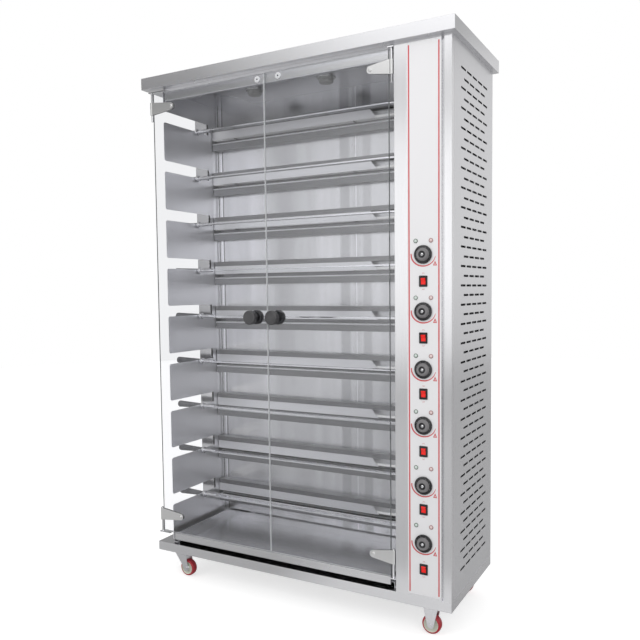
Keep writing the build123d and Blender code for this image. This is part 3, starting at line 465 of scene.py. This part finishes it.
def makeQuartz():
    material, tree, shader = newMaterial("heaterQuartz")
    made = useGroup(tree, mouldedSurface, Color=quartz["tube"], Lift=0.1, Smooth=0.10, Rough=0.20)
    place = put(tree, "ShaderNodeTexCoord").outputs["Object"]
    coil = put(tree, "ShaderNodeTexWave", {"Vector": place, "Scale": quartz["turns"], "Distortion": 0.0},
               bands_direction="X")
    wound = between(tree, coil.outputs[1], 0.35, 0.65, 0.0, quartz["coilShare"])
    feed(tree, blendColours(tree, wound, made["Color"], quartz["coil"]), shader["Base Color"])
    feed(tree, made["Roughness"], shader["Roughness"])
    shader["Coat Weight"].default_value = quartz["coat"]
    shader["Emission Color"].default_value = (1, 1, 1, 1)
    shader["Emission Strength"].default_value = quartz["glow"]
    addNormal(tree, shader, made["Height"], *bumps["faint"], 0.0)
    return material


# the glow stands in for the bright tube ends of the photograph
quartz = {"tube": (0.93, 0.93, 0.94, 1), "coil": (0.33, 0.29, 0.27, 1), "turns": 160.0, "coilShare": 0.15,
          "coat": 0.6, "glow": 0.22}
materials["heaterQuartz"] = makeQuartz()


def makeRocker():   # clear red, with painted shade down both flanks
    material, tree, shader = newMaterial("rockerRed")
    centre, half, fade = middle("rocker_1").x, rockerLook["flank"] / 1000, rockerLook["fade"] / 1000
    masks = [useGroup(tree, alongAxis, Axis=(1, 0, 0), From=centre + way * half,
                      To=centre + way * (half + fade))["Mask"] for way in (-1, 1)]
    flank = maths(tree, "ADD", masks[0], masks[1], clamp=True)
    made = useGroup(tree, mouldedSurface, Color=rockerLook["face"], Lift=0.02, Smooth=0.14, Rough=0.24)
    feed(tree, blendColours(tree, flank, made["Color"], rockerLook["side"]), shader["Base Color"])
    feed(tree, made["Roughness"], shader["Roughness"])
    shader["Specular IOR Level"].default_value = 0.28
    addNormal(tree, shader, made["Height"], *bumps["mould"], 0.0004)
    return material


rockerLook = {"flank": 6.8, "fade": 0.7, "face": (0.92, 0.014, 0.009, 1), "side": (0.16, 0.002, 0.002, 1)}
materials["rockerRed"] = makeRocker()

nodeFinishes = {
    "base_frame": "outerLong", "top_cover": "outerLong", "ceiling_sheet": "ceilingSheet",
    "left_comb_wall": "combSheet", "left_casing": "outerUpright", "inner_back_wall": "backWallSheet",
    "inner_right_wall": "combSheet", "header_rail": "headerSheet", "rear_panel": "outerUpright",
    "right_side_panel": "ventedSheet", "cover_screws": "zincPlate", "control_fascia": "outerUpright",
    "corner_post": "outerUpright", "control_overlay": "overlayFilm", "switch_bodies": "blackPlastic",
    "thermostats": "zincPlate", "pilot_lamps": "lampGreenRim", "reflectors": "troughSheet",
    "heater_tubes": "heaterQuartz", "chamber_lamps": "ovenLamp", "door_hardware": "brightChrome",
    "tray_runners": "chamberSheet", "spit_bearings": "bushBronze", "gear_motor": "motorPaint",
    "drive_chain": "chainSteel", "cable_gland": "blackPlastic", "caster_mounts": "zincPlate",
    "left_door_glass": "doorGlass", "right_door_glass": "doorGlass", "left_door_fittings": "doorFittings",
    "right_door_fittings": "doorFittings", "drip_tray": "traySheet", "motor_sprocket": "chainSteel",
    "front_swivel_fork": "zincPlate", "rear_swivel_fork": "zincPlate"}
for number in range(1, 10):
    nodeFinishes[f"spit_{number}"] = "spitSteel"
for number in range(1, 7):
    nodeFinishes[f"temperature_knob_{number}"] = "dialBlack"
    nodeFinishes[f"rocker_{number}"] = "rockerRed"
for corner in ("front_left", "front_right", "rear_left", "rear_right"):
    nodeFinishes[f"{corner}_wheel"] = "treadRed"


def dressNodes():
    for node, finish in nodeFinishes.items():
        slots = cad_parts[node].material_slots
        if not slots:
            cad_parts[node].data.materials.append(materials[finish])
        for place in slots:
            place.material = materials[finish]
    print("nodes dressed:", len(nodeFinishes))


# Floor, world and lamps
studio = {"floorRadius": 9.0, "floorColour": 0.62, "floorGlow": 0.62, "worldLight": 0.74,
          "leftWall": 0.36, "rightWall": 1.32, "rearWall": 0.62, "dimmest": 0.46,
          "nearFloor": 0.28, "farFloor": 0.34,
          "keyPlace": (-1.6, -3.4, 2.9), "keyPower": 36, "fillPlace": (2.6, -2.2, 2.4), "fillPower": 26,
          "keySize": 2.2, "fillSize": 1.8, "aim": (0, 0, 0.95)}
# Patches of the floor that glow only in mirrored rays: ramps along X and Y, each from dark to lit, in metres
mirrorPatches = {"nearX": (-0.2, 0.1), "nearFront": (-0.75, -0.62), "nearBack": (-0.2, -0.25),
                 "farX": (-1.9, -2.4), "farY": (-2.6, -3.2)}
# What steel mirrors, along the direction of the ray: start and end of each ramp, then the levels at its ends
mirrorBands = {"sides": (-0.66, -0.38), "behind": (-0.3, 0.4), "wallTop": (0.236, 0.250, 1.0, 0.18),
               "ceiling": (0.278, 0.315, 0.0, 0.90), "rearRows": (0.30, 0.33, 0.95, 0.6),
               "foot": (-0.12, 0.02, 0.74, 1.0)}


def seenOrMirrored(tree, path, seen, mirrored, lighting):
    # what the camera sees straight or through glass, what a surface mirrors, and what lights the object
    bounced = maths(tree, "MINIMUM", path["Glossy Depth"], 1.0)
    scattered = maths(tree, "MINIMUM", path["Diffuse Depth"], 1.0)
    return blendValues(tree, scattered, blendValues(tree, bounced, seen, mirrored), lighting)


def addFloor():
    body = bmesh.new()
    bmesh.ops.create_circle(body, cap_ends=True, radius=studio["floorRadius"], segments=96)
    mesh = bpy.data.meshes.new("floor")
    body.to_mesh(mesh)
    body.free()
    floor = bpy.data.objects.new("floor", mesh)
    scene.collection.objects.link(floor)
    material, tree, shader = newMaterial("paleFloor")
    place = put(tree, "ShaderNodeTexCoord").outputs["Object"]
    cloud = put(tree, "ShaderNodeTexNoise", {"Vector": place, "Scale": 0.6, "Detail": 2.0}).outputs[0]
    level = studio["floorColour"]
    feed(tree, blendColours(tree, cloud, grey(level), grey(level * 0.98)), shader["Base Color"])
    shader["Roughness"].default_value = 0.9
    shader["Specular IOR Level"].default_value = 0.0
    path = put(tree, "ShaderNodeLightPath").outputs
    across = put(tree, "ShaderNodeSeparateXYZ", {0: place}).outputs
    near = maths(tree, "MULTIPLY", between(tree, across[0], *mirrorPatches["nearX"]),
                 between(tree, across[1], *mirrorPatches["nearFront"]))
    near = maths(tree, "MULTIPLY", near, between(tree, across[1], *mirrorPatches["nearBack"]))
    far = maths(tree, "MULTIPLY", between(tree, across[0], *mirrorPatches["farX"]),
                between(tree, across[1], *mirrorPatches["farY"]))
    mirrored = maths(tree, "ADD", maths(tree, "MULTIPLY", near, studio["nearFloor"]),
                     maths(tree, "MULTIPLY", far, studio["farFloor"]))
    strength = seenOrMirrored(tree, path, studio["floorGlow"], mirrored, 0.0)
    glow = put(tree, "ShaderNodeEmission", {"Strength": strength})
    both = put(tree, "ShaderNodeAddShader", {0: tree.nodes["Principled BSDF"].outputs[0], 1: glow.outputs[0]})
    feed(tree, both.outputs[0], tree.nodes["Material Output"].inputs["Surface"])
    mesh.materials.append(material)


def addWorld():
    world = bpy.data.worlds.new("studio")
    scene.world = world
    world.use_nodes = True
    tree = world.node_tree
    back = tree.nodes["Background"]
    path = put(tree, "ShaderNodeLightPath").outputs
    way = put(tree, "ShaderNodeSeparateXYZ", {0: put(tree, "ShaderNodeTexCoord").outputs["Generated"]}).outputs
    sides = between(tree, way[0], *mirrorBands["sides"], studio["leftWall"], studio["rightWall"])
    rear = between(tree, way[1], *mirrorBands["behind"], 1.0, studio["rearWall"])
    wallTop = between(tree, way[2], *mirrorBands["wallTop"])   # the lit wall ends, with a dim band over it
    ceiling = between(tree, way[2], *mirrorBands["ceiling"])
    rearRows = between(tree, way[2], *mirrorBands["rearRows"])
    behind = between(tree, way[1], *mirrorBands["behind"])
    rows = blendValues(tree, behind, maths(tree, "ADD", wallTop, ceiling), rearRows)
    foot = between(tree, way[2], *mirrorBands["foot"])
    lit = maths(tree, "MAXIMUM", maths(tree, "MULTIPLY", sides, rear), studio["dimmest"])
    mirrored = maths(tree, "MULTIPLY", lit, maths(tree, "MULTIPLY", rows, foot))
    feed(tree, seenOrMirrored(tree, path, 1.0, mirrored, studio["worldLight"]), back.inputs["Strength"])
    back.inputs["Color"].default_value = (1, 1, 1, 1)


def addLamp(name, place, power, size):
    data = bpy.data.lights.new(name, "AREA")
    data.energy = power
    data.size = size
    lamp = bpy.data.objects.new(name, data)
    lamp.location = place
    lamp.rotation_euler = (Vector(studio["aim"]) - Vector(place)).to_track_quat("-Z", "Y").to_euler()
    lamp.visible_glossy = False   # the lit wall of the world is what the steel mirrors
    lamp.visible_transmission = False
    scene.collection.objects.link(lamp)


# Mesh helpers
def keepShape(shape, name, body, finishes):
    mesh = bpy.data.meshes.new(name)
    shape.to_mesh(mesh)
    shape.free()
    for finish in finishes:
        mesh.materials.append(materials[finish])
    piece = bpy.data.objects.new(name, mesh)
    scene.collection.objects.link(piece)
    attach(piece, body)
    return piece


def addBlock(shape, low, high, finish=0):
    corners = [shape.verts.new((x, y, z)) for x in (low[0], high[0]) for y in (low[1], high[1])
               for z in (low[2], high[2])]
    for ring in ((0, 1, 3, 2), (4, 6, 7, 5), (0, 4, 5, 1), (2, 3, 7, 6), (0, 2, 6, 4), (1, 5, 7, 3)):
        shape.faces.new([corners[i] for i in ring]).material_index = finish


latheSteps = {"dial": 104, "lamp": 40, "magnet": 32, "wheel": 72}


def addLathe(shape, centre, profile, steps, ribs=0, ribDepth=0.0):
    # profile: (radius, depth along Y, finish of the band that follows, ribbed), in millimetres
    rings = []
    for radius, depth, finish, ribbed in profile:
        ring = []
        for i in range(steps if radius else 1):
            angle = 2 * math.pi * i / steps
            swell = ribDepth * math.cos(ribs * angle) if ribbed else 0
            reach = (radius + swell) / 1000
            ring.append(shape.verts.new((centre[0] + reach * math.cos(angle), centre[1] + depth / 1000,
                                         centre[2] + reach * math.sin(angle))))
        rings.append(ring)
    for (near, far), (radius, depth, finish, ribbed) in zip(zip(rings, rings[1:]), profile):
        for i in range(steps):
            j = (i + 1) % steps
            if len(near) == 1:
                face = (near[0], far[j], far[i])
            elif len(far) == 1:
                face = (near[i], near[j], far[0])
            else:
                face = (near[i], near[j], far[j], far[i])
            made = shape.faces.new(face)
            made.material_index = finish
            made.smooth = True


def outward(shape):
    bmesh.ops.remove_doubles(shape, verts=shape.verts, dist=1e-7)
    bmesh.ops.recalc_face_normals(shape, faces=shape.faces)


# Geometry Nodes helpers
def runNodes(name, build, values, finish):
    tree = bpy.data.node_groups.new(name, "GeometryNodeTree")
    tree.is_modifier = True
    tree.interface.new_socket("Geometry", in_out="INPUT", socket_type="NodeSocketGeometry")
    for label, value in values.items():
        kind = "Vector" if isinstance(value, (tuple, Vector)) else "Int" if isinstance(value, int) else "Float"
        tree.interface.new_socket(label, in_out="INPUT", socket_type="NodeSocket" + kind)
    tree.interface.new_socket("Geometry", in_out="OUTPUT", socket_type="NodeSocketGeometry")
    given = tree.nodes.new("NodeGroupInput").outputs
    shapes = build(tree, given)
    whole = put(tree, "GeometryNodeRealizeInstances", {0: shapes}).outputs[0]
    dressed = put(tree, "GeometryNodeSetMaterial", {0: whole, "Material": materials[finish]}).outputs[0]
    feed(tree, dressed, tree.nodes.new("NodeGroupOutput").inputs[0])
    holder = bpy.data.objects.new(name, bpy.data.meshes.new(name))
    modifier = holder.modifiers.new(name, "NODES")
    modifier.node_group = tree
    for item in tree.interface.items_tree:
        if item.in_out == "INPUT" and item.name in values:
            modifier[item.identifier] = values[item.name]
    scene.collection.objects.link(holder)
    seen = holder.evaluated_get(bpy.context.evaluated_depsgraph_get())
    mesh = bpy.data.meshes.new_from_object(seen)
    holder.modifiers.remove(modifier)
    bpy.data.objects.remove(holder)
    return mesh


def tickRing(tree, given):   # marks round a dial, which faces -Y
    circle = put(tree, "GeometryNodeMeshCircle", {"Vertices": given["Count"],
                                                  "Radius": given["Reach"]}).outputs[0]
    tick = put(tree, "GeometryNodeMeshCube", {"Size": given["Tick"]}).outputs[0]
    place = put(tree, "GeometryNodeInputPosition").outputs[0]
    turn = put(tree, "FunctionNodeAlignRotationToVector", {"Vector": place}, axis="X",
               pivot_axis="Z").outputs[0]
    marks = put(tree, "GeometryNodeInstanceOnPoints", {"Points": circle, "Instance": tick,
                                                       "Rotation": turn}).outputs[0]
    return put(tree, "GeometryNodeTransform", {0: marks, "Rotation": (math.pi / 2, 0.0, 0.0),
                                               "Translation": given["Centre"]}).outputs[0]


# Print on the control film: two border lines, a heat arc under each dial and ON and OFF at each switch
film = {"leftLine": 1048.7, "rightLine": 1144.9, "lineWidth": 4.4, "bottom": 146, "top": 1842, "proud": 0.12,
        "arcWide": 39.5, "arcHigh": 35.2, "arcStart": 175, "arcEnd": 350, "arcThick": 4.4, "arcThin": 1.2,
        "markX": 37.6, "markZ": -28.5, "markSize": 6.6, "wordSize": 5.0, "wordAbove": 24.5, "wordBelow": -25.0}


def printPlane():
    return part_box("control_overlay")[0].y - film["proud"] / 1000


def addArc(shape, centre):
    steps = 40
    inner, outer = [], []
    for i in range(steps + 1):
        share = i / steps
        angle = math.radians(film["arcStart"] + share * (film["arcEnd"] - film["arcStart"]))
        swell = math.sin(math.pi * min(1.0, 0.28 + share * 0.72)) ** 0.7
        half = (film["arcThin"] + (film["arcThick"] - film["arcThin"]) * swell) / 2000
        for ring, offset in ((inner, -half), (outer, half)):
            x = centre.x + (film["arcWide"] / 1000 + offset) * math.cos(angle)
            z = centre.z + (film["arcHigh"] / 1000 + offset) * math.sin(angle)
            ring.append(shape.verts.new((x, printPlane(), z)))
    for i in range(steps):
        shape.faces.new((inner[i], outer[i], outer[i + 1], inner[i + 1]))


def addHeatMark(shape, centre):   # plain triangle at the hot end of the scale
    size = film["markSize"] / 1000
    x, z = centre.x + film["markX"] / 1000, centre.z + film["markZ"] / 1000
    outline = [(x - size, z - size * 0.9), (x + size, z - size * 0.9), (x, z + size * 1.3)]
    core = [(x - size * 0.34, z - size * 0.50), (x + size * 0.34, z - size * 0.50), (x, z + size * 0.30)]
    rings = [[shape.verts.new((px, printPlane(), pz)) for px, pz in ring] for ring in (outline, core)]
    for i in range(3):
        j = (i + 1) % 3
        shape.faces.new((rings[0][i], rings[0][j], rings[1][j], rings[1][i]))


def wordMesh(words, size):
    curve = bpy.data.curves.new("word", "FONT")
    curve.body = words
    curve.size = size
    curve.align_x = "CENTER"
    curve.align_y = "CENTER"
    curve.resolution_u = 3
    holder = bpy.data.objects.new("word", curve)
    scene.collection.objects.link(holder)
    mesh = bpy.data.meshes.new_from_object(holder.evaluated_get(bpy.context.evaluated_depsgraph_get()))
    bpy.data.objects.remove(holder)
    bpy.data.curves.remove(curve)
    return mesh


def placeWord(shape, words, size, place, turn=0.0):
    mesh = wordMesh(words, size)
    stand = Matrix.Rotation(math.pi / 2, 4, "X")
    mesh.transform(Matrix.Translation(place) @ Matrix.Rotation(turn, 4, "Y") @ stand)
    shape.from_mesh(mesh)
    bpy.data.meshes.remove(mesh)


def addFilmPrint():
    shape = bmesh.new()
    y = printPlane()
    half = film["lineWidth"] / 2
    for x in (film["leftLine"], film["rightLine"]):
        low, high = spot(x - half, 0, film["bottom"]), spot(x + half, 0, film["top"])
        corners = [(low.x, y, low.z), (high.x, y, low.z), (high.x, y, high.z), (low.x, y, high.z)]
        shape.faces.new([shape.verts.new(corner) for corner in corners])
    for number in range(1, 7):
        knob = middle(f"temperature_knob_{number}")
        addArc(shape, knob)
        addHeatMark(shape, knob)
        rocker = middle(f"rocker_{number}")
        for words, rise in (("ON", film["wordAbove"]), ("OFF", film["wordBelow"])):
            placeWord(shape, words, film["wordSize"] / 1000, (rocker.x, y, rocker.z + rise / 1000))
    shape.normal_update()
    for face in [face for face in shape.faces if face.normal.y > 0]:
        face.normal_flip()
    keepShape(shape, "control_print", "cabinet", ["printRed"])


# Dials: black skirt, ribbed grey grip and a slotted bright shaft end in a dark well
dial = {"faceDepth": 9.0, "ribs": 26, "ribDepth": 0.3, "numberReach": 22.4, "numberSize": 3.4, "numbers": 7,
        "firstNumber": -157.5, "numberStep": 45, "tickReach": 26.9, "tick": (3.0, 1.7, 0.2), "ticks": 8,
        "slotLength": 3.1, "slotWidth": 0.55, "slotDepth": 0.03, "slotFace": -8.0,
        "numberProud": 0.2, "tickSunk": 0.3, "numberWorth": 50}
dialProfile = [(0, 5.0, 0, False), (28.3, 5.0, 0, False), (28.5, 4.6, 0, False), (28.5, 1.6, 0, False),
               (27.9, 0.5, 0, False), (26.8, 0.1, 0, False), (20.4, 0.0, 1, False), (19.2, -0.5, 1, True),
               (18.4, -6.9, 1, True), (17.6, -8.2, 1, True), (16.2, -8.8, 1, False), (15.2, -8.6, 1, False),
               (14.6, -8.9, 1, False), (11.0, -8.9, 0, False), (9.4, -8.2, 0, False), (9.0, -6.0, 0, False),
               (4.6, -6.0, 2, False), (4.5, -7.4, 2, False), (3.9, -8.0, 2, False), (0, -8.0, 2, False)]


def addDials():
    for number in range(1, 7):
        node = f"temperature_knob_{number}"
        low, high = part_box(node)
        centre = Vector(((low.x + high.x) / 2, low.y + dial["faceDepth"] / 1000, (low.z + high.z) / 2))
        shape = bmesh.new()
        addLathe(shape, centre, dialProfile, latheSteps["dial"], dial["ribs"], dial["ribDepth"])
        outward(shape)
        half = Vector((dial["slotLength"], dial["slotDepth"], dial["slotWidth"])) / 1000
        slot = centre + Vector((0, dial["slotFace"] / 1000, 0))
        addBlock(shape, slot - half, slot + half)
        piece = keepShape(shape, f"dial_{number}", node,
                          ["dialBlack", "gripGrey", "brightChrome"])
        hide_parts(node)
        marks = bmesh.new()
        for i in range(dial["numbers"]):
            angle = math.radians(dial["firstNumber"] + i * dial["numberStep"])
            reach = dial["numberReach"] / 1000
            place = (centre.x + reach * math.sin(angle), centre.y - dial["numberProud"] / 1000,
                     centre.z + reach * math.cos(angle))
            placeWord(marks, str(dial["numberWorth"] * i), dial["numberSize"] / 1000, place, angle)
        for face in marks.faces:
            face.material_index = 1
        ring = runNodes("dialTicks", tickRing, {"Count": dial["ticks"], "Reach": dial["tickReach"] / 1000,
                        "Tick": tuple(v / 1000 for v in dial["tick"]),
                        "Centre": (centre.x, centre.y + dial["tickSunk"] / 1000, centre.z)}, "printWhite")
        marks.from_mesh(ring)
        bpy.data.meshes.remove(ring)
        keepShape(marks, f"dial_marks_{number}", node, ["printWhite", "printGrey"])


# Pilot lamps: a tinted rim round a paler dome, green on the left of each pair and rose on the right
lamp = {"offset": 24.7, "rises": (55, 55, 42, 42, 42, 42)}
lampProfile = [(0, 2.0, 0, False), (6.3, 2.0, 0, False), (6.8, 0.0, 0, False), (6.8, -1.1, 0, False),
               (6.3, -1.6, 0, False), (5.1, -1.6, 0, False), (4.8, -1.2, 1, False), (4.6, -1.6, 1, False),
               (3.9, -2.8, 1, False), (2.6, -3.6, 1, False), (1.3, -4.0, 1, False), (0, -4.1, 1, False)]


def addPilotLamps():
    shape = bmesh.new()
    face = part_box("control_overlay")[0].y
    for number, rise in enumerate(lamp["rises"], start=1):
        knob = middle(f"temperature_knob_{number}")
        for side, tint in ((-1, 0), (1, 2)):
            centre = Vector((knob.x + side * lamp["offset"] / 1000, face, knob.z + rise / 1000))
            profile = [(radius, depth, finish + tint, ribbed) for radius, depth, finish, ribbed in lampProfile]
            addLathe(shape, centre, profile, latheSteps["lamp"])
    outward(shape)
    piece = keepShape(shape, "pilot_lamp_lenses", "cabinet",
                      ["lampGreenRim", "lampGreenDome", "lampRoseRim", "lampRoseDome"])
    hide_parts("pilot_lamps")


# The two door magnets: a pale disc with a small dark centre before each cup
magnet = {"places": (491, 575), "height": 1829, "radius": 3.1, "ring": 10.7, "face": 8.9}


def addMagnetFaces():
    shape = bmesh.new()
    profile = [(0, 0.08, 1, False), (magnet["ring"], 0.08, 1, False), (magnet["ring"], 0.02, 1, False),
               (magnet["ring"] * 0.98, 0.0, 1, False), (magnet["radius"], 0.0, 0, False),
               (magnet["radius"] * 0.9, 0.02, 0, False), (0, 0.02, 0, False)]
    for x in magnet["places"]:
        addLathe(shape, spot(x, magnet["face"], magnet["height"]), profile, latheSteps["magnet"])
    outward(shape)
    keepShape(shape, "magnet_faces", "cabinet", ["blackPlastic", "ringWhite"])


# Wheels: red tread on a cream hub
wheelProfile = [(9.6, -14.9, 2, False), (9.6, -11.0, 1, False), (11.5, -10.4, 1, False), (21.6, -10.4, 1, False),
                (22.6, -12.2, 1, False), (24.6, -12.9, 0, False), (26.6, -13.0, 0, False), (29.6, -11.4, 0, False),
                (31.1, -8.0, 0, False), (31.5, -3.0, 0, False), (31.5, 3.0, 0, False), (31.1, 8.0, 0, False),
                (29.6, 11.4, 0, False), (26.6, 13.0, 1, False), (24.6, 12.9, 1, False), (22.6, 12.2, 1, False),
                (21.6, 10.4, 1, False), (11.5, 10.4, 1, False), (9.6, 11.0, 2, False), (9.6, 14.9, 2, False),
                (4.3, 14.9, 2, False), (4.3, -14.9, 2, False), (9.6, -14.9, 2, False)]


def addWheels():
    for corner in ("front_left", "front_right", "rear_left", "rear_right"):
        node = f"{corner}_wheel"
        shape = bmesh.new()
        addLathe(shape, middle(node), wheelProfile, latheSteps["wheel"])
        outward(shape)
        piece = keepShape(shape, f"{corner}_tread_and_hub", node,
                          ["treadRed", "hubCream", "zincPlate"])
        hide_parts(node)


# Ground edges of the panes
paneEdge = {"lip": 0.35, "hingeLip": 1.4, "proud": 0.02}


def addPaneEdges():
    for side in ("left", "right"):
        low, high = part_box(f"{side}_door_glass")
        lip, hingeLip, proud = (paneEdge[key] / 1000 for key in ("lip", "hingeLip", "proud"))
        shape = bmesh.new()
        first, last = (hingeLip, lip) if side == "left" else (lip, hingeLip)
        for x0, x1, wide in ((low.x - proud, low.x + first, first), (high.x - last, high.x + proud, last)):
            addBlock(shape, (x0, low.y - proud, low.z), (x1, high.y + proud, high.z), int(wide == hingeLip))
        for z0, z1 in ((low.z - proud, low.z + lip), (high.z - lip, high.z + proud)):
            addBlock(shape, (low.x + first, low.y - proud, z0), (high.x - last, high.y + proud, z1))
        outward(shape)
        keepShape(shape, f"{side}_pane_edges", f"{side}_door", ["paneEdge", "paneEdgeDark"])


addCamera()
addFloor()
addWorld()
addLamp("keyLamp", studio["keyPlace"], studio["keyPower"], studio["keySize"])
addLamp("fillLamp", studio["fillPlace"], studio["fillPower"], studio["fillSize"])
scene.view_settings.view_transform = "Standard"
dressNodes()
addFilmPrint()
addDials()
addPilotLamps()
addMagnetFaces()
addWheels()
addPaneEdges()
